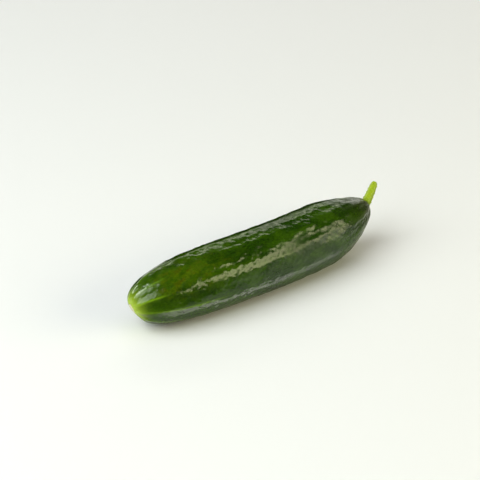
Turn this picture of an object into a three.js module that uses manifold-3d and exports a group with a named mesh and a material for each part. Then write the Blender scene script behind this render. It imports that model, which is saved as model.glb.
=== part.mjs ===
// A mini cucumber as picked, lying on its side: the ribbed fruit and the cut stem it hung from.
// Millimetres, +Z up. The fruit runs along +X from its blossom end to its stem end.
import * as THREE from 'three';
import { ParametricGeometry } from 'three/addons/geometries/ParametricGeometry.js';
import { mergeVertices } from 'three/addons/utils/BufferGeometryUtils.js';
import Module from 'manifold-3d';

// The fruit's driving dimensions. Places along it are counted from the blossom tip.
const fruitLength = 165;
const fruitRadius = 18.2;
const blossomTaper = { reach: 70.4, power: 3.7, root: 2.64 };
const stemTaper = { reach: 41, power: 1.52, root: 1.68 };
const barrel = 0.05; // share of the radius lost from the middle to either end
const bow = 4.8; // the belly's swing towards -Y
const blossomDroop = { y: -2.07, z: -2.5 };
const blossomNose = { y: 0.16, z: -1.03, reach: 7.75 }; // tips the very end's face downwards
const stemRise = { y: 3.5, z: 4.8 };
const restDepth = 0.4; // how far the underside is flattened where the fruit lies

// Relief of the skin: heights in mm, and waves counted once round the fruit.
const lobes = { count: 3, height: 0.22, turn: 0.5 * Math.PI };
const ribs = { count: 10, height: 0.11, turn: 0.4, drift: 2.1, driftLength: 25 };
const blossomRibs = { height: 0.2, fade: 24 };
const stemRibs = { height: 0.3, fade: 17 };
const ripples = { count: 9, height: 0.05, leastAround: 5, mostAround: 16, shortest: 18, longest: 58 };
const calm = { angle: 1.5 * Math.PI, width: 0.5, share: 0.8 }; // the underside is smoother
const reliefFadeRadius = 9; // relief dies out where the fruit is thinner than this

// Small warts left by the spines, spread by the golden angle.
const warts = { count: 40, radius: 0.95, height: 0.2, root: 0.4, first: 16, last: 150 };
const wartShoulders = [{ radius: 0.65, height: 0.3 }, { radius: 0.35, height: 0.85 }]; // shares
const goldenAngle = Math.PI * (3 - Math.sqrt(5));
const goldenShare = (Math.sqrt(5) - 1) / 2;

// The corky scar of the flower at the blossom tip, a shallow dish with a low pip in it.
const scar = { radius: 1.7, depth: 0.38, pipHeight: 0.16, lip: 0.08, reach: 2, rise: 1.3 };
const scarFloor = [{ radius: 0.4, depth: 1 }, { radius: 0.75, depth: 0.8 }]; // shares

// The stem, and the seat that it grows from.
const stemBase = { length: 4.8, azimuth: 21.5, elevation: 20 }; // angles in degrees
const stemTip = { length: 11.7, azimuth: 27.5, elevation: 34.5 };
const stemRadii = { foot: 3.1, tip: 1.68 };
const stemFlank = [
  { share: 0.22, radius: 2.62 },
  { share: 0.5, radius: 2.38 },
  { share: 0.78, radius: 2.12 },
];
const stemRidges = { count: 5, share: 0.07 };
const footShare = 0.85; // the flat under the foot, as a share of its radius
const cutRounding = { length: 0.4, share: 0.8 };
const cutDish = { depth: 0.25, share: 0.45 };
const seatBack = 2.9; // from the end of the fruit's axis to the seat's floor
const seatGap = 0.3;
const seatCutHeight = 11;

// Facets.
const fruitAround = 80;
const fruitAlong = 60;
const stemAround = 25;
const stemAlong = 14;
const wartAround = 6;
const scarAround = 16;
const seatAround = 24;

const smallStep = 0.01;
const zAxis = new THREE.Vector3(0, 0, 1);

const wasm = await Module();
wasm.setup();

// The centre line: a parabola for the bow, and the two ends and the nose turned off it by cubes.
function centreAt(x) {
  const s = 2 * x / fruitLength - 1;
  const blossom = Math.max(0, -s) ** 3;
  const stem = Math.max(0, s) ** 3;
  const nose = Math.max(0, 1 - x / blossomNose.reach) ** 3;
  const y = blossomDroop.y * blossom + blossomNose.y * nose + stemRise.y * stem;
  const z = blossomDroop.z * blossom + blossomNose.z * nose + stemRise.z * stem;
  return new THREE.Vector3(x - fruitLength / 2, y - bow * (1 - s * s), z + fruitRadius - restDepth);
}

// The centre line's direction, with the sideways and upward directions across it.
function frameAt(x) {
  const along = centreAt(x + smallStep).sub(centreAt(x - smallStep)).normalize();
  const side = new THREE.Vector3().crossVectors(zAxis, along).normalize();
  return { along, side, up: new THREE.Vector3().crossVectors(along, side) };
}

// One end's rounding, from 0 at its tip to 1 at its reach.
function taperAt(distance, taper) {
  const near = 1 - Math.min(1, distance / taper.reach);
  return (1 - near ** taper.power) ** (1 / taper.root);
}

function radiusAt(x) {
  const s = 2 * x / fruitLength - 1;
  const ends = taperAt(x, blossomTaper) * taperAt(fruitLength - x, stemTaper);
  return fruitRadius * ends * (1 - barrel * s * s);
}

// Waves of many widths and lengths added together, each turned by the golden share.
function ripplesAt(x, angle) {
  let height = 0;
  for (let i = 0; i < ripples.count; i += 1) {
    const share = (i + 0.5) / ripples.count;
    const mixed = (i * goldenShare) % 1;
    const around = Math.round(ripples.leastAround + (ripples.mostAround - ripples.leastAround) * share);
    const length = ripples.shortest + (ripples.longest - ripples.shortest) * mixed;
    const slant = i % 2 === 0 ? 1 : -1;
    height += Math.cos(around * angle + slant * 2 * Math.PI * x / length + i * goldenAngle);
  }
  return height * ripples.height;
}

// Height of the skin over the plain taper: lobes, lengthwise ribs that turn a little near the blossom
// end, and ripples.
function reliefAt(x, angle) {
  const fromStem = fruitLength - x;
  const ribHeight = ribs.height
    + blossomRibs.height * Math.exp(-x / blossomRibs.fade)
    + stemRibs.height * Math.exp(-fromStem / stemRibs.fade);
  const drift = ribs.drift * (1 - Math.exp(-x / ribs.driftLength));
  const height = lobes.height * Math.cos(lobes.count * angle + lobes.turn)
    + ribHeight * Math.cos(ribs.count * angle + ribs.turn - drift)
    + ripplesAt(x, angle);
  const quiet = 1 - calm.share * Math.exp(-(((angle - calm.angle) / calm.width) ** 2));
  return height * quiet * Math.min(1, radiusAt(x) / reliefFadeRadius);
}

// A point of the skin, at a place along the fruit and an angle round it; nothing goes below the floor.
function skinPoint(x, angle, target = new THREE.Vector3()) {
  const { side, up } = frameAt(x);
  const radius = radiusAt(x) + reliefAt(x, angle);
  target.copy(centreAt(x));
  target.addScaledVector(side, radius * Math.cos(angle));
  target.addScaledVector(up, radius * Math.sin(angle));
  target.z = Math.max(0, target.z);
  return target;
}

function skinNormal(x, angle) {
  const alongSkin = skinPoint(x + smallStep, angle).sub(skinPoint(x - smallStep, angle));
  const roundSkin = skinPoint(x, angle + smallStep).sub(skinPoint(x, angle - smallStep));
  return new THREE.Vector3().crossVectors(roundSkin, alongSkin).normalize().negate();
}

// A closed solid from a three.js geometry: equal vertices merged, and triangles with no area left out.
function solidFrom(geometry) {
  const bare = new THREE.BufferGeometry();
  bare.setAttribute('position', geometry.getAttribute('position'));
  bare.setIndex(geometry.index);
  const merged = mergeVertices(bare);
  const corners = merged.index.array;
  const kept = [];
  for (let i = 0; i < corners.length; i += 3) {
    const [a, b, c] = corners.slice(i, i + 3);
    if (a !== b && b !== c && c !== a) {
      kept.push(a, b, c);
    }
  }
  return new wasm.Manifold(new wasm.Mesh({
    numProp: 3,
    vertProperties: merged.getAttribute('position').array,
    triVerts: new Uint32Array(kept),
  }));
}

function geometryFrom(solid) {
  const { vertProperties, triVerts } = solid.getMesh();
  const geometry = new THREE.BufferGeometry();
  geometry.setAttribute('position', new THREE.BufferAttribute(vertProperties, 3));
  geometry.setIndex(new THREE.BufferAttribute(triVerts, 1));
  geometry.computeVertexNormals();
  return geometry;
}

function latheFrom(outline, around) {
  const points = outline.map(([radius, height]) => new THREE.Vector2(radius, height));
  return new THREE.LatheGeometry(points, around);
}

// Stands a lathed shape, made round its own Y axis, at a point and along a direction.
function standAt(geometry, point, direction) {
  const turn = new THREE.Quaternion().setFromUnitVectors(new THREE.Vector3(0, 1, 0), direction);
  geometry.applyQuaternion(turn);
  geometry.translate(point.x, point.y, point.z);
  return geometry;
}

function makeWarts() {
  const outline = [
    [0, -warts.root],
    [warts.radius, -warts.root],
    ...wartShoulders.map(({ radius, height }) => [radius * warts.radius, height * warts.height]),
    [0, warts.height],
  ];
  const solids = [];
  for (let i = 0; i < warts.count; i += 1) {
    const x = warts.first + (warts.last - warts.first) * (i + 0.5) / warts.count;
    const angle = (i * goldenAngle) % (2 * Math.PI);
    if (Math.abs(angle - calm.angle) > calm.width) {
      const bump = latheFrom(outline, wartAround);
      solids.push(solidFrom(standAt(bump, skinPoint(x, angle), skinNormal(x, angle))));
    }
  }
  return wasm.Manifold.union(solids);
}

// The cutter for the scar: a bowl with a raised middle, open towards the outside.
function makeScarCut() {
  const outline = [
    [0, scar.pipHeight - scar.depth],
    ...scarFloor.map(({ radius, depth }) => [radius * scar.radius, -depth * scar.depth]),
    [scar.radius, scar.lip],
    [scar.radius, scar.reach],
    [0, scar.reach],
  ];
  const { along, up } = frameAt(smallStep);
  const centre = centreAt(0).addScaledVector(up, scar.rise);
  return solidFrom(standAt(latheFrom(outline, scarAround), centre, along.negate()));
}

// A unit vector from angles in degrees: azimuth from +X towards +Y, elevation from level.
function directionOf({ azimuth, elevation }) {
  const turn = THREE.MathUtils.degToRad(azimuth);
  const rise = THREE.MathUtils.degToRad(elevation);
  const level = Math.cos(rise);
  return new THREE.Vector3(level * Math.cos(turn), level * Math.sin(turn), Math.sin(rise));
}

function seatPoint() {
  return centreAt(fruitLength).addScaledVector(frameAt(fruitLength).along, -seatBack);
}

function makeSeatCut() {
  const radius = stemRadii.foot + seatGap;
  const cutter = new THREE.CylinderGeometry(radius, radius, seatCutHeight, seatAround);
  cutter.translate(0, seatCutHeight / 2, 0);
  return solidFrom(standAt(cutter, seatPoint(), directionOf(stemBase)));
}

function makeFruit() {
  const skin = new ParametricGeometry((u, v, target) => {
    const x = fruitLength * (0.5 - 0.5 * Math.cos(Math.PI * v));
    skinPoint(x, 2 * Math.PI * (u % 1), target);
  }, fruitAround, fruitAlong);
  const solid = solidFrom(skin).add(makeWarts()).subtract(makeScarCut()).subtract(makeSeatCut());
  const material = new THREE.MeshStandardMaterial({ color: 0x2c4a0c, roughness: 0.3, metalness: 0 });
  const mesh = new THREE.Mesh(geometryFrom(solid), material);
  mesh.name = 'fruit';
  return mesh;
}

// The stem's route leaves the seat along one direction and reaches its cut along another.
function stemPath() {
  const base = seatPoint().addScaledVector(directionOf(stemBase), seatGap);
  const bend = base.clone().addScaledVector(directionOf(stemBase), stemBase.length);
  const tip = bend.clone().addScaledVector(directionOf(stemTip), stemTip.length);
  return new THREE.QuadraticBezierCurve3(base, bend, tip);
}

// The stem: a lathed outline with a flared base and a dished cut, ridged and bent along its route.
function makeStem() {
  const path = stemPath();
  const length = path.getLength();
  const flank = new THREE.SplineCurve([
    new THREE.Vector2(stemRadii.foot, cutRounding.length),
    ...stemFlank.map(({ share, radius }) => new THREE.Vector2(radius, share * length)),
    new THREE.Vector2(stemRadii.tip, length - cutRounding.length),
  ]).getPoints(stemAlong).map((point) => [point.x, point.y]);
  const outline = [
    [0, 0],
    [footShare * stemRadii.foot, 0],
    ...flank,
    [cutRounding.share * stemRadii.tip, length],
    [cutDish.share * stemRadii.tip, length - cutDish.depth],
    [0, length - cutDish.depth],
  ];

  const geometry = latheFrom(outline, stemAround);
  const position = geometry.getAttribute('position');
  const point = new THREE.Vector3();
  for (let i = 0; i < position.count; i += 1) {
    point.fromBufferAttribute(position, i);
    const share = Math.min(1, point.y / length);
    const angle = Math.atan2(point.x, point.z);
    const ridge = 1 + stemRidges.share * Math.cos(stemRidges.count * angle);
    const radius = ridge * Math.hypot(point.x, point.z);
    const tangent = path.getTangentAt(share);
    const side = new THREE.Vector3().crossVectors(zAxis, tangent).normalize();
    const up = new THREE.Vector3().crossVectors(tangent, side);
    point.copy(path.getPointAt(share));
    point.addScaledVector(side, radius * Math.cos(angle));
    point.addScaledVector(up, radius * Math.sin(angle));
    position.setXYZ(i, point.x, point.y, point.z);
  }
  const material = new THREE.MeshStandardMaterial({ color: 0x8fae1e, roughness: 0.55, metalness: 0 });
  const mesh = new THREE.Mesh(geometryFrom(solidFrom(geometry)), material);
  mesh.name = 'stem';
  return mesh;
}

// The origin is under the middle of the whole cucumber, on the surface it lies on.
const cucumber = new THREE.Group();
cucumber.add(makeFruit(), makeStem());
const middle = new THREE.Box3().setFromObject(cucumber).getCenter(new THREE.Vector3());
cucumber.position.set(-middle.x, -middle.y, 0);

const part = new THREE.Group();
part.add(cucumber);

export default part;
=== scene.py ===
# Mini cucumber lying on its side: waxy skin with its ribs, folds and spine warts, and the cut stem.
# Shapes are worked out in millimetres along the fruit (0 at the blossom tip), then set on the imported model.
import math

import bpy
import numpy as np
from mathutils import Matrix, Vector


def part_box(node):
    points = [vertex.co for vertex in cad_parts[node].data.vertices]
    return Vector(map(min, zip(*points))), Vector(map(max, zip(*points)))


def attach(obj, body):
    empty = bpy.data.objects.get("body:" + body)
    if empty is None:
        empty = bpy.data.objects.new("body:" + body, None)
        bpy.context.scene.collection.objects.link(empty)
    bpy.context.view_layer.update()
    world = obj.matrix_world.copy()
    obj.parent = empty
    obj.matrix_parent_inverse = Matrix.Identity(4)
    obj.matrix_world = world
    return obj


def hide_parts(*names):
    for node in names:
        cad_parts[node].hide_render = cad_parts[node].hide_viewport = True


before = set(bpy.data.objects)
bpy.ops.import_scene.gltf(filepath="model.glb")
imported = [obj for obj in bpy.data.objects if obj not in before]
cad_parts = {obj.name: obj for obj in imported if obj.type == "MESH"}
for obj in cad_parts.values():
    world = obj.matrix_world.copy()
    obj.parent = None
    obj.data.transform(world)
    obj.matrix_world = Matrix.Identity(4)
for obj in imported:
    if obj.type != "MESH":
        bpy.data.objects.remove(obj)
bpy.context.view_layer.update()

mm = 0.001
goldenAngle = math.pi * (3 - math.sqrt(5))
goldenShare = (math.sqrt(5) - 1) / 2

# The fruit's body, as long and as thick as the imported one.
fruitShape = {
    "length": 165.0,
    "radius": 18.2,
    "blossomTaper": (70.4, 3.7, 2.64),  # reach, power, root
    "stemTaper": (41.0, 1.52, 1.68),
    "barrel": 0.05,
    "bow": 4.8,
    "blossomDroop": (-2.07, -2.5),
    "blossomNose": (0.16, -1.03, 7.75),  # sideways, upwards and reach: tips the very end's face downwards
    "stemRise": (3.5, 4.8),
    "restDepth": 0.4,
    "around": 288,
    "along": 336,
    "tipShare": 0.06,  # share of the rings kept for the blossom end
    "tipReach": 2.0,
}

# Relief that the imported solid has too, with its ripples a little higher there.
broadRelief = {
    "lobes": (3, 0.22, 0.5 * math.pi),  # count, height, turn
    "ribs": (10, 0.11, 0.4),
    "ribDrift": (2.1, 25.0),  # turn and reach
    "blossomRibs": (0.2, 24.0),  # height, fade
    "stemRibs": (0.3, 17.0),
    "ripples": (9, 0.033, 5, 16, 18.0, 58.0),  # count, height, least and most around, shortest, longest
    "calm": (1.5 * math.pi, 0.5, 0.8),  # angle and width of the underside, share of the relief it loses
    "fadeRadius": 9.0,
}

# Finer relief: bands of random waves, each with its waves round the fruit, lengths along it, and height.
fineRelief = {
    "seed": 11,
    "waves": 26,
    "bands": (
        {"around": (6, 14), "length": (8.0, 13.0), "height": 0.050},
        {"around": (16, 30), "length": (30.0, 120.0), "height": 0.024},
        {"around": (14, 44), "length": (2.6, 6.0), "height": 0.026},
        {"around": (2, 14), "length": (1.9, 3.2), "height": 0.007},
    ),
    "folds": 44,  # thin lengthwise folds
    "foldWidth": 0.55,
    "foldHeight": 0.085,
    "foldShare": (-0.6, 1.0),  # least and most of that height
    "foldPlace": (12.0, 150.0),
    "foldLength": (8.0, 26.0),
    "foldSway": (0.01, 0.05),
    "foldPace": (5.0, 12.0),
    "foldPhase": (0.0, 6.0),
    # angle in degrees, first and last place, height, half width, depth of its arches in degrees
    "longFolds": (
        (80.0, 30.0, 104.0, 0.22, 1.3, 0.0), (98.0, 34.0, 92.0, 0.24, 1.0, 8.0),
        (94.5, 94.0, 142.0, 0.21, 1.0, 0.0), (107.0, 46.0, 65.0, 0.21, 0.8, 1.5),
        (108.0, 67.0, 98.0, 0.20, 0.8, 2.0), (109.5, 101.0, 114.0, 0.21, 0.8, 4.0),
        (132.5, 46.0, 64.0, 0.20, 1.1, 1.5), (143.5, 40.0, 75.0, 0.15, 1.1, 2.0),
        (132.5, 75.0, 99.0, 0.21, 1.1, 5.0), (134.0, 98.0, 132.0, 0.16, 1.1, 4.0),
        (146.0, 98.0, 126.0, 0.14, 1.1, 5.0), (118.0, 99.0, 114.0, 0.13, 1.3, 0.0),
        (169.0, 122.0, 158.0, 0.15, 0.8, 3.0), (158.0, 128.0, 152.0, 0.12, 0.8, 2.0),
        (188.0, 56.0, 120.0, 0.10, 0.6, 0.0), (193.0, 40.0, 122.0, 0.11, 0.6, 0.0),
        (198.5, 20.0, 100.0, 0.11, 0.65, 0.0), (262.0, 30.0, 70.0, 0.08, 0.8, 0.0),
        (18.0, 60.0, 125.0, 0.12, 0.9, 6.0), (331.0, 25.0, 88.0, 0.10, 0.8, 0.0),
        (228.0, 80.0, 140.0, 0.10, 0.8, 0.0), (48.0, 20.0, 70.0, 0.12, 1.0, 5.0),
        (352.0, 90.0, 140.0, 0.11, 0.9, 3.0),
    ),
    "longSway": ((0.018, 2.1, 1), (0.012, 0.9, 2)),  # height, pace, and phase from one fold to the next
    "archPace": 3.3,
    "warts": (40, 0.95, 0.2, 16.0, 150.0),  # count, radius, height, first, last
    "scar": (2.3, 0.12, 0.6, 0.2),  # radius, depth, the pip's radius and height
    "scarPlace": (1.05, -0.4),  # above and beside the tip
    "scarWall": (0.85, 12.0),  # share of the radius and steepness
    "scarLimit": 10.0,  # no scar beyond this place, as the stem end is as thin as the tip
}

# Marks painted on the skin by where they lie; a dark patch beside the tip is painted shade and grey lines on
# the stem end's ribs are painted highlights.
skinMarks = {
    "streaks": (  # rib, first and last place along it, strength
        (0, 3.0, 16.0, 0.30), (1, 1.0, 9.0, 0.45), (2, 2.0, 20.0, 0.35), (3, 5.0, 17.0, 0.40),
        (4, 0.0, 14.0, 0.85), (5, 0.5, 46.0, 0.62), (6, 0.5, 26.0, 0.55), (7, 1.0, 12.0, 0.40),
        (8, 2.0, 30.0, 0.45), (9, 0.5, 15.0, 0.50),
    ),
    "streakWidth": (0.42, 0.8, 6.0),  # half width in millimetres, its growth at the tip and that one's reach
    "streakBand": (0.82, 0.15, 3.5),  # strength of the core and of the band beside it, band's width in cores
    "glow": (1.0, 2.25, 1.3),  # strength, reach from the tip, power
    "fresh": (0.30, 7.0, 1.4),
    "tone": (0.16, 0.42, 65.0),  # at the stem end, what the blossom end adds and its reach
    "toneWaves": ((0.12, 3, 14.0), (0.1, 5, -9.0)),  # height, count around, pace along
    # the dark patch is painted shade: the skin darkened beside the tip, low on its side
    "paintedShadePatch": (0.8, 2.8, 0.4, 10.0, 10.0),  # strength, radians and half width, place and half length
    "bloom": (62.0, 95.0),  # the skin grows duller between these places
    "bloomEnd": (122.0, 140.0, 0.85),  # and between these clearer again, by this share
    "bloomTurn": 0.2,  # radians that the clear top is turned by
    "dullPatch": (97.0, 8.0, 143.0, 12.0),  # place and half length, angle and half width in degrees
    "stemShade": (0.85, 16.0, 1.6),  # strength, reach from the stem end, power
    # painted highlights: grey lines along the crests of the stem end's ribs
    "stemRibHighlights": (0.5, 20.0, 6),  # strength and reach of the grey lines on the stem end's ribs, power
    "scarEdge": (1.1, 0.35),  # share of the scar's radius, blur in millimetres
    "scarWaves": ((0.10, 3, 1.0), (0.06, 7, 0.0)),  # height, count around, turn
    "olive": (125.0, 30.0, 26.0, 24.0),  # angle and half width in degrees, place and half length
}


def centreLine(x):
    # a parabola for the bow, and the two ends and the nose turned off it by cubes
    s = 2 * x / fruitShape["length"] - 1
    noseSide, noseUp, noseReach = fruitShape["blossomNose"]
    blossom, stem = np.maximum(0, -s) ** 3, np.maximum(0, s) ** 3
    nose = np.maximum(0, 1 - x / noseReach) ** 3
    droop, rise = fruitShape["blossomDroop"], fruitShape["stemRise"]
    y = droop[0] * blossom + noseSide * nose + rise[0] * stem - fruitShape["bow"] * (1 - s * s)
    z = droop[1] * blossom + noseUp * nose + rise[1] * stem + fruitShape["radius"] - fruitShape["restDepth"]
    return np.stack([x - fruitShape["length"] / 2, y, z], -1)


def crossDirections(x):
    # the centre line's direction, then level sideways and upwards across it
    along = centreLine(x + 0.01) - centreLine(x - 0.01)
    along /= np.linalg.norm(along, axis=-1, keepdims=True)
    side = np.cross([0.0, 0.0, 1.0], along)
    side /= np.linalg.norm(side, axis=-1, keepdims=True)
    return along, side, np.cross(along, side)


def endTaper(distance, taper):
    # (1 - (1 - distance / reach) ^ power) ^ (1 / root), from 0 at the tip to 1 at the reach
    reach, power, root = taper
    near = 1 - np.clip(distance / reach, 0, 1)
    return (1 - near ** power) ** (1 / root)


def plainRadius(x):
    # the full radius times both ends' tapers, and less away from the middle by the square of s
    s = 2 * x / fruitShape["length"] - 1
    ends = endTaper(x, fruitShape["blossomTaper"])
    ends = ends * endTaper(fruitShape["length"] - x, fruitShape["stemTaper"])
    return fruitShape["radius"] * ends * (1 - fruitShape["barrel"] * s * s)


def ribDrift(x):
    # a turn that grows from the tip and levels off: turn * (1 - e ^ -(x / reach))
    turn, reach = broadRelief["ribDrift"]
    return turn * (1 - np.exp(-x / reach))


def angleBetween(angle, line):
    # the difference brought between minus and plus half a turn
    return np.angle(np.exp(1j * (angle - line)))


def broadHeight(x, angle):
    # three lobes, ten ribs that grow towards both ends, and slow slanting ripples
    count, height, least, most, shortest, longest = broadRelief["ripples"]
    total = np.zeros(np.broadcast(x, angle).shape)
    for i in range(count):
        around = math.floor(least + (most - least) * (i + 0.5) / count + 0.5)
        length = shortest + (longest - shortest) * ((i * goldenShare) % 1)
        slant = 1 if i % 2 == 0 else -1
        total += height * np.cos(around * angle + slant * 2 * math.pi * x / length + i * goldenAngle)
    lobes, lobeHeight, lobeTurn = broadRelief["lobes"]
    total += lobeHeight * np.cos(lobes * angle + lobeTurn)
    ribs, ribHeight, ribTurn = broadRelief["ribs"]
    blossomHeight, blossomFade = broadRelief["blossomRibs"]
    stemHeight, stemFade = broadRelief["stemRibs"]
    ribHeight = (ribHeight + blossomHeight * np.exp(-x / blossomFade)
                 + stemHeight * np.exp(-(fruitShape["length"] - x) / stemFade))
    return total + ribHeight * np.cos(ribs * angle + ribTurn - ribDrift(x))


def fineHeight(x, angle):
    # each band is a sum of cosines with random whole waves round, lengths, slants and phases
    rng = np.random.default_rng(fineRelief["seed"])
    waves = fineRelief["waves"]
    total = np.zeros(np.broadcast(x, angle).shape)
    for band in fineRelief["bands"]:
        around = rng.integers(band["around"][0], band["around"][1] + 1, waves) * rng.choice([-1, 1], waves)
        pace = 2 * math.pi / rng.uniform(band["length"][0], band["length"][1], waves)
        phase = rng.uniform(0, 2 * math.pi, waves)
        size = band["height"] * math.sqrt(2 / waves)
        for i in range(waves):
            total += size * np.cos(around[i] * angle + pace[i] * x + phase[i])
    return total


def foldHeight(x, angle):
    # narrow ridges that run lengthwise with a slow sway, each fading in and out
    rng = np.random.default_rng(fineRelief["seed"] + 1)
    total = np.zeros(np.broadcast(x, angle).shape)
    for i in range(fineRelief["folds"]):
        place = rng.uniform(*fineRelief["foldPlace"])
        reach = rng.uniform(*fineRelief["foldLength"])
        turn = rng.uniform(0, 2 * math.pi)
        sway = rng.uniform(*fineRelief["foldSway"])
        pace = rng.uniform(*fineRelief["foldPace"])
        phase = rng.uniform(*fineRelief["foldPhase"])
        line = turn + sway * np.sin(2 * math.pi * x / pace + phase)
        across = angleBetween(angle, line) * fruitShape["radius"] / fineRelief["foldWidth"]
        share = rng.uniform(*fineRelief["foldShare"])
        total += share * np.exp(-across ** 2 - ((x - place) / reach) ** 4)
    return total * fineRelief["foldHeight"]


def longFoldHeight(x, angle):
    # ridges at set places, some of them in a row of arches that open towards smaller angles
    total = np.zeros(np.broadcast(x, angle).shape)
    for i, (turn, first, last, height, width, arch) in enumerate(fineRelief["longFolds"]):
        sway = sum(size * np.sin(x / pace + step * i) for size, pace, step in fineRelief["longSway"])
        arches = 1 - np.abs(np.sin(x / fineRelief["archPace"] + i))
        line = math.radians(turn) + sway - math.radians(arch) * arches
        across = angleBetween(angle, line) * fruitShape["radius"] / width
        total += height * np.exp(-across ** 2 - ((2 * x - first - last) / (last - first)) ** 6)
    return total


def wartHeight(x, angle):
    # low bells spread by the golden angle, none on the underside
    count, radius, height, first, last = fineRelief["warts"]
    calmAngle, calmWidth, _ = broadRelief["calm"]
    total = np.zeros(np.broadcast(x, angle).shape)
    for i in range(count):
        place = first + (last - first) * (i + 0.5) / count
        turn = (i * goldenAngle) % (2 * math.pi)
        if abs(turn - calmAngle) > calmWidth:
            across = angleBetween(angle, turn) * fruitShape["radius"]
            total += height * np.exp(-((x - place) ** 2 + across ** 2) / (0.5 * radius ** 2))
    return total


def fromScar(x, angle):
    # distance from the scar's middle, measured across the fruit
    radius = plainRadius(x)
    up, side = fineRelief["scarPlace"]
    return np.hypot(radius * np.cos(angle) - side, radius * np.sin(angle) - up)


def scarDepth(x, angle):
    # a shallow bowl with a low pip in it
    radius, depth, pipRadius, pipHeight = fineRelief["scar"]
    wall, steepness = fineRelief["scarWall"]
    away = fromScar(x, angle)
    bowl = depth / (1 + np.exp((away / radius - wall) * steepness))
    return (bowl - pipHeight * np.exp(-(away / pipRadius) ** 2)) * (x < fineRelief["scarLimit"])


def skinSurface(x, angle):
    # x and angle are a column and a row; the skin is the plain radius plus the relief, cut off at the floor
    radius = plainRadius(x)
    calmAngle, calmWidth, calmShare = broadRelief["calm"]
    quiet = 1 - calmShare * np.exp(-((angle - calmAngle) / calmWidth) ** 2)
    fade = np.minimum(1, radius / broadRelief["fadeRadius"])
    height = (broadHeight(x, angle) + fineHeight(x, angle) + foldHeight(x, angle)
              + longFoldHeight(x, angle) + wartHeight(x, angle))
    radius = radius + quiet * fade * height
    along, side, up = crossDirections(x[:, 0])
    points = (centreLine(x[:, 0])[:, None, :]
              + scarDepth(x, angle)[..., None] * along[:, None, :]
              + (radius * np.cos(angle))[..., None] * side[:, None, :]
              + (radius * np.sin(angle))[..., None] * up[:, None, :])
    points[..., 2] = np.maximum(0, points[..., 2])
    return points


def ringPlaces():
    # rings evenly spaced along the skin, with more of them over the scar
    fine = fruitShape["length"] * (0.5 - 0.5 * np.cos(math.pi * np.linspace(0, 1, 4001)))
    radius = plainRadius(fine)
    travelled = np.concatenate([[0], np.cumsum(np.hypot(np.diff(fine), np.diff(radius)))])
    close = 1 - np.exp(-travelled / fruitShape["tipReach"])
    share = (1 - fruitShape["tipShare"]) * travelled / travelled[-1] + fruitShape["tipShare"] * close
    return np.interp(np.linspace(0, share[-1], fruitShape["along"] + 1), share, fine)


def tubeMesh(name, rings):
    # rings: (along, around, 3) in metres; the first and last rings are single points that close the ends
    inner = rings[1:-1]
    rows, around = inner.shape[:2]
    points = np.concatenate([inner.reshape(-1, 3), rings[0, :1], rings[-1, :1]])
    here = np.arange((rows - 1) * around).reshape(rows - 1, around)
    beside = np.roll(here, -1, 1)
    quads = np.stack([here, here + around, beside + around, beside], -1).reshape(-1, 4)
    first = np.arange(around)
    last = first + (rows - 1) * around
    start, end = rows * around, rows * around + 1
    caps = np.concatenate([
        np.stack([np.full(around, start), first, np.roll(first, -1)], -1),
        np.stack([last, np.full(around, end), np.roll(last, -1)], -1),
    ])
    mesh = bpy.data.meshes.new(name)
    mesh.vertices.add(len(points))
    mesh.vertices.foreach_set("co", points.ravel())
    corners = np.concatenate([quads.ravel(), caps.ravel()])
    mesh.loops.add(len(corners))
    mesh.loops.foreach_set("vertex_index", corners.astype(np.int32))
    sizes = np.concatenate([np.full(len(quads), 4), np.full(len(caps), 3)])
    mesh.polygons.add(len(sizes))
    mesh.polygons.foreach_set("loop_start", (np.cumsum(sizes) - sizes).astype(np.int32))
    mesh.update(calc_edges=True)
    mesh.validate()
    mesh.shade_smooth()
    return mesh


def addPiece(name, mesh, material):
    # an object of this mesh and material, linked into the scene
    piece = bpy.data.objects.new(name, mesh)
    bpy.context.scene.collection.objects.link(piece)
    mesh.materials.append(material)
    return piece


def paint(mesh, name, grid):
    # one number for each point, from a (along, around) grid
    values = np.concatenate([grid[1:-1].ravel(), grid[0, :1], grid[-1, :1]])
    mesh.attributes.new(name, "FLOAT", "POINT").data.foreach_set("value", values.astype(np.float32))


def placeShift():
    # from the formulas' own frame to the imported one: low ends meet along x, middles across y, z is the same
    x = ringPlaces()[:, None]
    angle = np.linspace(0, 2 * math.pi, 180, endpoint=False)[None, :]
    skin = skinSurface(x, angle).reshape(-1, 3) * mm
    low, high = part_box("fruit")
    shift = (np.array(low) + np.array(high)) / 2 - (skin.min(0) + skin.max(0)) / 2
    shift[0] = low[0] - skin[:, 0].min()
    shift[2] = 0
    return shift


shift = placeShift()
print("formula frame set at", np.round(shift * 1000, 2), "mm")


def makeNode(tree, kind, inputs=None, **settings):
    # a node with its settings, and its inputs given as numbers or as sockets to link
    item = tree.nodes.new(kind)
    for name, value in settings.items():
        setattr(item, name, value)
    for name, value in (inputs or {}).items():
        if isinstance(value, bpy.types.NodeSocket):
            tree.links.new(value, item.inputs[name])
        else:
            item.inputs[name].default_value = value
    return item


def blendColours(tree, amount, first, second, how="MIX"):
    # from the first colour to the second by the amount, or to their product for MULTIPLY
    inputs = {0: amount, 6: first, 7: second}
    return makeNode(tree, "ShaderNodeMix", inputs, data_type="RGBA", blend_type=how).outputs[2]


def stretchedNoise(tree, place, scale, detail, roughness, distortion):
    # noise with its own scale along each axis, in waves per metre
    spread = makeNode(tree, "ShaderNodeMapping", {"Vector": place, "Scale": scale})
    noise = makeNode(tree, "ShaderNodeTexNoise", {"Vector": spread.outputs[0], "Scale": 1.0, "Detail": detail,
                                                  "Roughness": roughness, "Distortion": distortion})
    return noise.outputs["Fac"]


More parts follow.
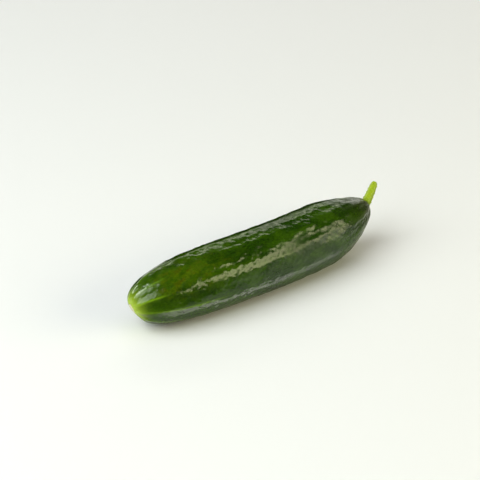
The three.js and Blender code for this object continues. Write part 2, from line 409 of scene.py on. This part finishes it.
def remap(tree, value, low, high, start=0.0, end=1.0):
    # a smooth step from start to end while the value goes from low to high
    inputs = {"Value": value, "From Min": low, "From Max": high, "To Min": start, "To Max": end}
    return makeNode(tree, "ShaderNodeMapRange", inputs, interpolation_type="SMOOTHSTEP").outputs[0]


def attribute(tree, name):
    # a painted mark, read back by its name
    return makeNode(tree, "ShaderNodeAttribute", attribute_name=name).outputs["Fac"]


def multiply(tree, first, second):
    # the first number times the second
    return makeNode(tree, "ShaderNodeMath", {0: first, 1: second}, operation="MULTIPLY").outputs[0]


def newMaterial(name):
    # a material, with its tree and its shader
    material = bpy.data.materials.new(name)
    material.use_nodes = True
    tree = material.node_tree
    return material, tree, tree.nodes["Principled BSDF"]


skinColours = {  # linear, in the order they are laid over each other
    "deep": (0.012, 0.039, 0.0004, 1),
    "leaf": (0.030, 0.075, 0.0006, 1),
    "olive": (0.066, 0.112, 0.0008, 1),
    "brown": (0.075, 0.076, 0.0008, 1),
    "fleck": (0.050, 0.105, 0.0040, 1),
    "fresh": (0.060, 0.170, 0.0020, 1),
    "streak": (0.20, 0.36, 0.012, 1),
    "glow": (0.50, 0.66, 0.055, 1),
    "stemShade": (0.034, 0.034, 0.011, 1),
    # painted highlight for the stem end's rib crests
    "stemRibHighlight": (0.105, 0.115, 0.070, 1),
    "cork": (0.95, 0.86, 0.64, 1),
}

# Noise: waves a metre along each axis, detail, roughness, distortion, and low, high, start, end of its range.
skinTextures = {
    "patches": ((60, 130, 130), 4.0, 0.6, 0.6, (0.36, 0.64, 0.12, 0.88)),
    "oliveSpots": ((150, 260, 260), 4.0, 0.65, 0.4, (0.42, 0.60, 0.1, 0.9)),
    "brownSpots": ((210, 330, 330), 3.0, 0.6, 0.3, (0.53, 0.64, 0.0, 0.7)),
    "flecks": ((300, 1500, 1500), 2.0, 0.6, 0.4, (0.58, 0.80, 0.0, 0.35)),
    "grain": ((700, 1100, 1100), 3.0, 0.6, 0.0, (0.3, 0.75, 0.74, 1.26)),
    "cork": ((2200, 2200, 2200), 3.0, 0.7, 0.0, (0.3, 0.7, 0.6, 1.1)),
    "wax": ((260, 600, 600), 4.0, 0.7, 0.0, (0.35, 0.7, 0.09, 0.25)),
    "creases": ((750, 300, 300), 3.0, 0.6, 0.8, None),
    "pores": ((2600, 2600, 2600), 2.0, 0.5, 0.0, None),
}

skinFinish = {
    "toneRange": (0.3, 1.15),  # tones that are all deep and all leaf
    "bloomRoughness": 0.20,  # added where the bloom is full
    "corkRoughness": 0.75,
    "creases": (0.00020, 0.65, 0.35),  # height in metres, strength without bloom and with it
    "pores": (0.00002, 0.5),
}


def skinTexture(tree, place, name):
    # one of the noises above, brought to its range if it has one
    scale, detail, roughness, distortion, span = skinTextures[name]
    noise = stretchedNoise(tree, place, scale, detail, roughness, distortion)
    return remap(tree, noise, *span) if span else noise


def waxySkin():
    # two greens mixed by the tone, which holds a patch of painted shade, with the marks laid over them in
    # turn, painted highlights on the stem end's ribs among them
    # its roughness is the wax noise plus a part of the bloom, and even on the scar
    material, tree, shader = newMaterial("waxySkin")
    place = makeNode(tree, "ShaderNodeTexCoord").outputs["Object"]
    tone = makeNode(tree, "ShaderNodeMath", {0: skinTexture(tree, place, "patches"),
                                             1: attribute(tree, "tone")}, operation="ADD")
    tone = remap(tree, tone.outputs[0], *skinFinish["toneRange"])
    colour = blendColours(tree, tone, skinColours["deep"], skinColours["leaf"])
    for spots, name in (("oliveSpots", "olive"), ("brownSpots", "brown")):
        amount = multiply(tree, skinTexture(tree, place, spots), attribute(tree, "olive"))
        colour = blendColours(tree, amount, colour, skinColours[name])
    colour = blendColours(tree, skinTexture(tree, place, "flecks"), colour, skinColours["fleck"])
    colour = blendColours(tree, 1.0, colour, skinTexture(tree, place, "grain"), "MULTIPLY")
    for name in ("fresh", "streak", "glow", "stemShade", "stemRibHighlight"):
        colour = blendColours(tree, attribute(tree, name), colour, skinColours[name])
    cork = blendColours(tree, 1.0, skinColours["cork"], skinTexture(tree, place, "cork"), "MULTIPLY")
    colour = blendColours(tree, attribute(tree, "scar"), colour, cork)
    tree.links.new(colour, shader.inputs["Base Color"])

    dull = makeNode(tree, "ShaderNodeMath", {0: attribute(tree, "bloom"), 1: skinFinish["bloomRoughness"],
                                             2: skinTexture(tree, place, "wax")}, operation="MULTIPLY_ADD")
    rough = makeNode(tree, "ShaderNodeMix", {0: attribute(tree, "scar"), 2: dull.outputs[0],
                                             3: skinFinish["corkRoughness"]}, data_type="FLOAT")
    tree.links.new(rough.outputs[0], shader.inputs["Roughness"])

    height, clear, bloomed = skinFinish["creases"]
    soft = remap(tree, attribute(tree, "bloom"), 0.0, 1.0, clear, bloomed)
    bump = makeNode(tree, "ShaderNodeBump", {"Height": skinTexture(tree, place, "creases"),
                                             "Distance": height, "Strength": soft})
    height, strength = skinFinish["pores"]
    bump = makeNode(tree, "ShaderNodeBump", {"Height": skinTexture(tree, place, "pores"), "Distance": height,
                                             "Strength": strength, "Normal": bump.outputs[0]})
    tree.links.new(bump.outputs[0], shader.inputs["Normal"])
    return material


def streakField(x, angle):
    # pale lines along the ribs: a thin core and a faint band beside it, each rib with its own reach
    ribs, _, ribTurn = broadRelief["ribs"]
    halfWidth, growth, growthReach = skinMarks["streakWidth"]
    coreStrength, bandStrength, bandWidth = skinMarks["streakBand"]
    width = halfWidth * (1 + growth * np.exp(-x / growthReach))
    total = np.zeros(np.broadcast(x, angle).shape)
    for rib, first, last, strength in skinMarks["streaks"]:
        line = (2 * math.pi * rib - ribTurn + ribDrift(x)) / ribs
        across = angleBetween(angle, line) * np.maximum(plainRadius(x), 1.0)
        core = np.exp(-(across / width) ** 2)
        band = np.exp(-(across / (bandWidth * width)) ** 2)
        middle, half = (first + last) / 2, (last - first) / 2
        fade = np.exp(-np.abs((x - middle) / half) ** 3)
        total += strength * fade * (coreStrength * core + bandStrength * band)
    return np.clip(total, 0, 1)


def toneField(x, angle):
    # lighter towards the blossom end, uneven round the fruit, and one patch of painted shade beside the tip
    base, added, reach = skinMarks["tone"]
    tone = base + added * np.exp(-(x / reach) ** 2)
    for height, count, pace in skinMarks["toneWaves"]:
        tone = tone + height * np.sin(angle * count + x / pace)
    # painted shade: a darker patch beside the tip
    strength, turn, width, place, reach = skinMarks["paintedShadePatch"]
    return tone - strength * np.exp(-((angle - turn) / width) ** 2 - ((x - place) / reach) ** 2)


def bloomField(x, angle):
    # none on top and full from the sides down, from the middle to near the stem end, and the dull patch
    start, end = skinMarks["bloom"]
    bloom = np.clip((x - start) / (end - start), 0, 1)
    start, end, share = skinMarks["bloomEnd"]
    bloom = bloom * (1 - share * np.clip((x - start) / (end - start), 0, 1))
    place, reach, turn, width = skinMarks["dullPatch"]
    across = angleBetween(angle, math.radians(turn)) / math.radians(width)
    patch = np.exp(-((x - place) / reach) ** 2 - across ** 2)
    return np.clip(bloom * np.clip(1 - np.sin(angle + skinMarks["bloomTurn"]), 0, 1) + patch, 0, 1)


def fadeFrom(distance, mark):
    # strength * e ^ -(distance / reach) ^ power
    strength, reach, power = mark
    return strength * np.exp(-(distance / reach) ** power)


def paintSkin(mesh, x, angle):
    # every mark as an attribute of the skin; olive and the painted highlight lines fade by e ^ -(distance /
    # reach) ^ 2
    shape = np.broadcast(x, angle).shape
    fromStem = fruitShape["length"] - x
    paint(mesh, "streak", streakField(x, angle))
    paint(mesh, "glow", np.broadcast_to(fadeFrom(x, skinMarks["glow"]), shape))
    paint(mesh, "fresh", np.broadcast_to(fadeFrom(x, skinMarks["fresh"]), shape))
    paint(mesh, "tone", toneField(x, angle))
    turn, width, place, reach = skinMarks["olive"]
    across = angleBetween(angle, math.radians(turn)) / math.radians(width)
    paint(mesh, "olive", np.exp(-across ** 2 - ((x - place) / reach) ** 2))
    paint(mesh, "bloom", bloomField(x, angle))
    paint(mesh, "stemShade", np.broadcast_to(fadeFrom(fromStem, skinMarks["stemShade"]), shape))
    # painted highlights: grey lines on the rib crests near the stem end
    ribs, _, ribTurn = broadRelief["ribs"]
    strength, reach, power = skinMarks["stemRibHighlights"]
    crest = (0.5 + 0.5 * np.cos(ribs * angle + ribTurn - ribDrift(x))) ** power
    paint(mesh, "stemRibHighlight", strength * crest * np.exp(-(fromStem / reach) ** 2))
    size, blur = skinMarks["scarEdge"]
    waves = sum(height * np.cos(count * angle + turn) for height, count, turn in skinMarks["scarWaves"])
    edge = size * fineRelief["scar"][0] * (1 + waves)
    scar = np.clip((edge - fromScar(x, angle)) / blur + 0.5, 0, 1)
    paint(mesh, "scar", scar * (x < fineRelief["scarLimit"]))


def makeFruit():
    # the skin's surface on the rings' places and on even angles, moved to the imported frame
    x = ringPlaces()[:, None]
    angle = np.linspace(0, 2 * math.pi, fruitShape["around"], endpoint=False)[None, :]
    mesh = tubeMesh("fruitSkin", skinSurface(x, angle) * mm + shift)
    paintSkin(mesh, x, angle)
    return addPiece("fruitSkin", mesh, waxySkin())


fruit = makeFruit()
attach(fruit, "root")
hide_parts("fruit")
print("fruit", len(fruit.data.polygons), "faces")

# The stem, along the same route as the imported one.
stemShape = {
    "baseLeg": (4.8, 21.5, 20.0),  # length, azimuth, elevation
    "tipLeg": (11.7, 27.5, 34.5),
    "outline": (  # share of the length, radius
        (0.0, 3.2), (0.06, 3.08), (0.22, 2.62), (0.5, 2.38),
        (0.78, 2.12), (0.94, 1.82), (0.98, 1.6), (1.0, 1.25),
    ),
    "cut": (  # share of the last radius, share of the length
        (0.92, 1.002), (0.8, 1.0), (0.6, 0.992), (0.35, 0.985), (0.0, 0.984),
    ),
    "ridges": (5, 0.07),
    "seatBack": 2.9,
    "seatGap": 0.3,
    "around": 130,
    "along": 150,
    "bristles": (72, 0.2, 0.76),  # count, first one's share of the length, and their span
    "bristle": (0.34, 0.40),  # radius, height
    "bristleShare": (0.45, 0.55),  # of that height everywhere, and added on the ridges
    "bristleTurn": 2.3,  # the stem's radius where they stand
}

stemLook = {
    "fibres": ((500, 1300, 900), 3.0, 0.6, 0.5),  # as the skin's noise is given
    "fibreRange": (0.3, 0.7),
    "colours": ((0.25, 0.36, 0.0015, 1), (0.37, 0.48, 0.0050, 1)),
    "marks": (
        ("foot", (0.17, 0.27, 0.0015, 1)),
        ("pale", (0.60, 0.68, 0.17, 1)),
        ("cut", (0.46, 0.50, 0.10, 1)),
    ),
    "foot": (0.12, 0.16),  # place and half length of the darker foot, as shares
    "pale": (0.22, 4, 0.6),  # strength on the ridges, power, strength on the bristles
    "roughness": 0.5,
    "specular": 0.25,
    "bump": (0.00008, 0.5),
}


def directionOf(azimuth, elevation):
    # the unit direction turned by azimuth from +X towards +Y and raised by elevation
    turn, rise = math.radians(azimuth), math.radians(elevation)
    return np.array([math.cos(turn) * math.cos(rise), math.sin(turn) * math.cos(rise), math.sin(rise)])


def stemRoute(share):
    # a quadratic curve from the seat, leaving along one direction and ending along another; and its direction
    end = np.array([fruitShape["length"]])
    along = crossDirections(end)[0][0]
    first, last = stemShape["baseLeg"], stemShape["tipLeg"]
    base = centreLine(end)[0] - stemShape["seatBack"] * along + stemShape["seatGap"] * directionOf(*first[1:])
    bend = base + first[0] * directionOf(*first[1:])
    tip = bend + last[0] * directionOf(*last[1:])
    t = np.asarray(share, float)[..., None]
    place = (1 - t) ** 2 * base + 2 * t * (1 - t) * bend + t ** 2 * tip
    direction = (1 - t) * (bend - base) + t * (tip - bend)
    return place, direction / np.linalg.norm(direction, axis=-1, keepdims=True)


def bristleHeight(share, angle):
    # small pointed knobs spread by the golden angle, highest on the five ridges
    count, first, span = stemShape["bristles"]
    radius, height = stemShape["bristle"]
    low, added = stemShape["bristleShare"]
    length = stemShape["baseLeg"][0] + stemShape["tipLeg"][0]
    total = np.zeros(np.broadcast(share, angle).shape)
    for i in range(count):
        place = first + span * (i + 0.5) / count
        turn = (i * goldenAngle) % (2 * math.pi)
        ridge = 0.5 + 0.5 * math.cos(stemShape["ridges"][0] * turn)
        across = angleBetween(angle, turn) * stemShape["bristleTurn"]
        away = ((share - place) * length) ** 2 + across ** 2
        total += (low + added * ridge) * height * np.exp(-away / radius ** 2)
    return total


def stemRadius(share, angle):
    # the outline's radius, raised on five ridges and by the bristles
    shares, radii = np.array(stemShape["outline"]).T
    count, height = stemShape["ridges"]
    plain = np.interp(share, shares, radii)
    return plain * (1 + height * np.cos(count * angle)) + bristleHeight(share, angle)


def stemSurface(share, angle, radius):
    # rings of the given radii along the route, each square to its direction
    place, direction = stemRoute(share[:, 0])
    side = np.cross([0.0, 0.0, 1.0], direction)
    side /= np.linalg.norm(side, axis=-1, keepdims=True)
    up = np.cross(direction, side)
    return (place[:, None, :] + (radius * np.cos(angle))[..., None] * side[:, None, :]
            + (radius * np.sin(angle))[..., None] * up[:, None, :])


def stemSkin():
    # two greens mixed by the fibres, which are its bumps too, and the marks laid over them in turn
    material, tree, shader = newMaterial("stemGreen")
    place = makeNode(tree, "ShaderNodeTexCoord").outputs["Object"]
    fibres = remap(tree, stretchedNoise(tree, place, *stemLook["fibres"]), *stemLook["fibreRange"])
    colour = blendColours(tree, fibres, *stemLook["colours"])
    for name, paintColour in stemLook["marks"]:
        colour = blendColours(tree, attribute(tree, name), colour, paintColour)
    tree.links.new(colour, shader.inputs["Base Color"])
    shader.inputs["Roughness"].default_value = stemLook["roughness"]
    shader.inputs["Specular IOR Level"].default_value = stemLook["specular"]
    height, strength = stemLook["bump"]
    bump = makeNode(tree, "ShaderNodeBump", {"Height": fibres, "Distance": height, "Strength": strength})
    tree.links.new(bump.outputs[0], shader.inputs["Normal"])
    return material


def makeStem():
    # rings up the flank, then shrinking rings over the dished cut; both ends close in a point
    along, around = stemShape["along"], stemShape["around"]
    angle = np.linspace(0, 2 * math.pi, around, endpoint=False)[None, :]
    flank = np.linspace(0, 1, along)[:, None]
    flankRadius = stemRadius(flank, angle)
    inward, dish = np.array(stemShape["cut"]).T[..., None]
    share = np.concatenate([[[0.0]], flank, dish])
    radius = np.concatenate([np.zeros((1, around)), flankRadius, inward * flankRadius[-1]])
    mesh = tubeMesh("stemGrown", stemSurface(share, angle, radius) * mm + shift)
    ridge = 0.5 + 0.5 * np.cos(stemShape["ridges"][0] * angle)
    bristles = bristleHeight(share, angle) / stemShape["bristle"][1]
    onRidge, power, onBristle = stemLook["pale"]
    paint(mesh, "pale", np.clip(onRidge * ridge ** power + onBristle * bristles, 0, 1) * (share < 1))
    place, reach = stemLook["foot"]
    paint(mesh, "foot", np.broadcast_to(np.exp(-((share - place) / reach) ** 2), radius.shape))
    onCut = (np.arange(len(share)) > along)[:, None]
    paint(mesh, "cut", np.broadcast_to(onCut, radius.shape).astype(float))
    return addPiece("stemGrown", mesh, stemSkin())


stem = makeStem()
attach(stem, "root")
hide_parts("stem")
print("stem", len(stem.data.polygons), "faces")

# The studio. Azimuth 0 looks from -Y and 90 from +X, as seen from the cucumber.
studio = {
    "middle": (-4.9, 3.5, 16.6),  # point in millimetres that the camera aims at
    "camera": (-36.8, 30.0, 1.044),  # azimuth, elevation, distance
    "lens": (142.3, 36.0),  # its length and the width of the sensor, in millimetres
    "shift": (-0.033, 0.0380),
    "floor": (8.0, 0.00005),  # size, and how far it lies below the cucumber
    "floorColours": ((0.68, 0.67, 0.66, 1), (0.89, 0.87, 0.95, 1)),  # to light and reflections, to the camera
    "floorFade": (0.5, 1.6),  # turns white for the camera between these distances
    "floorRoughness": 0.9,
    "world": ((0.8, 0.9, 1.0, 1), 0.012),  # colour and strength, except to the camera
    "cardGlow": (1.0, 0.97, 0.90, 1),
    "lamps": (
        {"name": "backSoftbox", "azimuth": 156, "elevation": 17, "distance": 1.3, "size": (0.56, 0.62),
         "radiance": 0.34, "colour": (1.0, 1.0, 0.72)},
        {"name": "backStrip", "azimuth": 146, "elevation": 33.5, "distance": 1.3, "size": (1.2, 0.20),
         "radiance": 3.1, "colour": (1.0, 1.0, 0.80)},
        {"name": "backRight", "azimuth": 128, "elevation": 5, "distance": 1.3, "size": (0.76, 0.56),
         "radiance": 1.35, "colour": (1.0, 1.0, 0.90)},
        {"name": "frontWindow", "azimuth": 35, "elevation": 25, "distance": 1.3, "size": (1.3, 0.43),
         "radiance": 5.0, "colour": (1.0, 0.96, 0.56)},
        {"name": "lowWindow", "azimuth": 52, "elevation": 6, "distance": 1.32, "size": (0.54, 0.30),
         "radiance": 2.5, "colour": (1.0, 0.97, 0.85)},
        {"name": "leftWindow", "azimuth": -94, "elevation": 43, "distance": 1.2, "size": (1.3, 1.0),
         "radiance": 3.9, "colour": (0.92, 1.0, 0.86)},
        {"name": "leftStrip", "azimuth": -130, "elevation": 43, "distance": 1.2, "size": (0.42, 0.66),
         "radiance": 8.6, "colour": (0.95, 1.0, 0.92), "lights": False},  # only reflections show it
        {"name": "overheadFill", "azimuth": 0, "elevation": 90, "distance": 1.7, "size": (2.4, 2.4),
         "radiance": 0.6, "colour": (0.94, 0.97, 1.0), "shows": False},  # lights, but no reflection shows it
    ),
    # the dark cards are shades and the pale strip glows: shade and light that only reflections see
    "cards": (  # shades and a pale strip that only reflections show, corners in millimetres
        {"name": "backShade", "colour": (0.004, 0.008, 0.002), "glow": 0.0,
         "corners": ((-43, 44, 0.2), (84, 44, 0.2), (84, 44, 38.0), (-43, 44, 47.5))},
        {"name": "frontShade", "colour": (0.010, 0.012, 0.008), "glow": 0.0,
         "corners": ((-101, -6, 0.3), (-93, -18, 0.3), (-41, -78, 0.3), (29, -109, 0.3), (300, -700, 0.3),
                     (-700, -700, 0.3), (-700, -60, 0.3))},
        {"name": "rightShade", "colour": (0.24, 0.24, 0.20), "glow": 0.0,
         "corners": ((128, -130, 0.3), (900, -600, 0.3), (900, 500, 0.3), (128, 90, 0.3))},
        # a glowing strip and no lamp: its emission lights the skin's reflections low on the front
        {"name": "glowingStrip", "colour": (0.0, 0.0, 0.0), "glow": 2.3,
         "corners": ((-82, -19, 0.3), (50, -23, 0.3), (62, -31, 0.3), (-74, -28, 0.3))},
    ),
}


def awayFrom(azimuth, elevation, distance):
    # the point this far off, turned by azimuth from -Y towards +X and raised by elevation
    turn, rise = math.radians(azimuth), math.radians(elevation)
    direction = (math.sin(turn) * math.cos(rise), -math.cos(turn) * math.cos(rise), math.sin(rise))
    return Vector(direction) * distance


def makeLamp(lamp):
    # a rectangle that faces the origin; its power is the radiance times pi times its area
    wide, high = lamp["size"]
    light = bpy.data.lights.new(lamp["name"], "AREA")
    light.shape = "RECTANGLE"
    light.size, light.size_y = wide, high
    light.color = lamp["colour"]
    light.energy = lamp["radiance"] * math.pi * wide * high
    item = bpy.data.objects.new(lamp["name"], light)
    bpy.context.scene.collection.objects.link(item)
    item.location = awayFrom(lamp["azimuth"], lamp["elevation"], lamp["distance"])
    item.rotation_euler = item.location.to_track_quat("Z", "Y").to_euler()
    item.visible_camera = False
    item.visible_glossy = lamp.get("shows", True)
    item.visible_diffuse = lamp.get("lights", True)


def makeFloor():
    # one square; for the camera alone its glow steps up to white with the distance from the origin
    size, depth = studio["floor"]
    half = size / 2
    mesh = bpy.data.meshes.new("floor")
    corners = ((-half, -half), (half, -half), (half, half), (-half, half))
    mesh.from_pydata([(x, y, -depth) for x, y in corners], [], [(0, 1, 2, 3)])
    material, tree, shader = newMaterial("paleFloor")
    path = makeNode(tree, "ShaderNodeLightPath")
    place = makeNode(tree, "ShaderNodeTexCoord").outputs["Object"]
    away = makeNode(tree, "ShaderNodeVectorMath", {0: place}, operation="LENGTH").outputs["Value"]
    far = multiply(tree, remap(tree, away, *studio["floorFade"]), path.outputs["Is Camera Ray"])
    pale = blendColours(tree, path.outputs["Is Camera Ray"], *studio["floorColours"])
    tree.links.new(pale, shader.inputs["Base Color"])
    tree.links.new(far, shader.inputs["Emission Strength"])
    shader.inputs["Emission Color"].default_value = (1, 1, 1, 1)
    shader.inputs["Roughness"].default_value = studio["floorRoughness"]
    shader.inputs["Specular IOR Level"].default_value = 0.0
    return addPiece("floor", mesh, material)


def makeCard(card):
    # one flat polygon through the card's corners, for reflections alone
    mesh = bpy.data.meshes.new(card["name"])
    corners = [tuple(mm * value for value in corner) for corner in card["corners"]]
    mesh.from_pydata(corners, [], [tuple(range(len(corners)))])
    material, tree, shader = newMaterial(card["name"])
    shader.inputs["Base Color"].default_value = (*card["colour"], 1)
    shader.inputs["Specular IOR Level"].default_value = 0.0
    shader.inputs["Emission Color"].default_value = studio["cardGlow"]
    shader.inputs["Emission Strength"].default_value = card["glow"]
    item = addPiece(card["name"], mesh, material)
    item.visible_camera = item.visible_shadow = item.visible_diffuse = False
    return item


def makeWorld():
    # nearly black to reflections, and white behind the floor's edge
    world = bpy.data.worlds.new("studio")
    world.use_nodes = True
    tree = world.node_tree
    tree.nodes.clear()
    path = makeNode(tree, "ShaderNodeLightPath")
    colour, strength = studio["world"]
    dim = makeNode(tree, "ShaderNodeBackground", {"Color": colour, "Strength": strength})
    pale = makeNode(tree, "ShaderNodeBackground", {"Color": (1, 1, 1, 1), "Strength": 1.0})
    mix = makeNode(tree, "ShaderNodeMixShader", {0: path.outputs["Is Camera Ray"], 1: dim.outputs[0],
                                                2: pale.outputs[0]})
    output = makeNode(tree, "ShaderNodeOutputWorld", {"Surface": mix.outputs[0]})
    output.is_active_output = True
    bpy.context.scene.world = world


def makeCamera():
    # set back from its aim by the distance, and looking along that line
    azimuth, elevation, distance = studio["camera"]
    lens = bpy.data.cameras.new("camera")
    lens.lens, lens.sensor_width = studio["lens"]
    lens.shift_x, lens.shift_y = studio["shift"]
    camera = bpy.data.objects.new("camera", lens)
    bpy.context.scene.collection.objects.link(camera)
    back = awayFrom(azimuth, elevation, distance)
    camera.location = Vector(studio["middle"]) * mm + back
    camera.rotation_euler = back.to_track_quat("Z", "Y").to_euler()
    bpy.context.scene.camera = camera


makeFloor()
for card in studio["cards"]:
    makeCard(card)
for lamp in studio["lamps"]:
    makeLamp(lamp)
makeWorld()
makeCamera()
bpy.context.scene.view_settings.view_transform = "Standard"
print("studio ready")
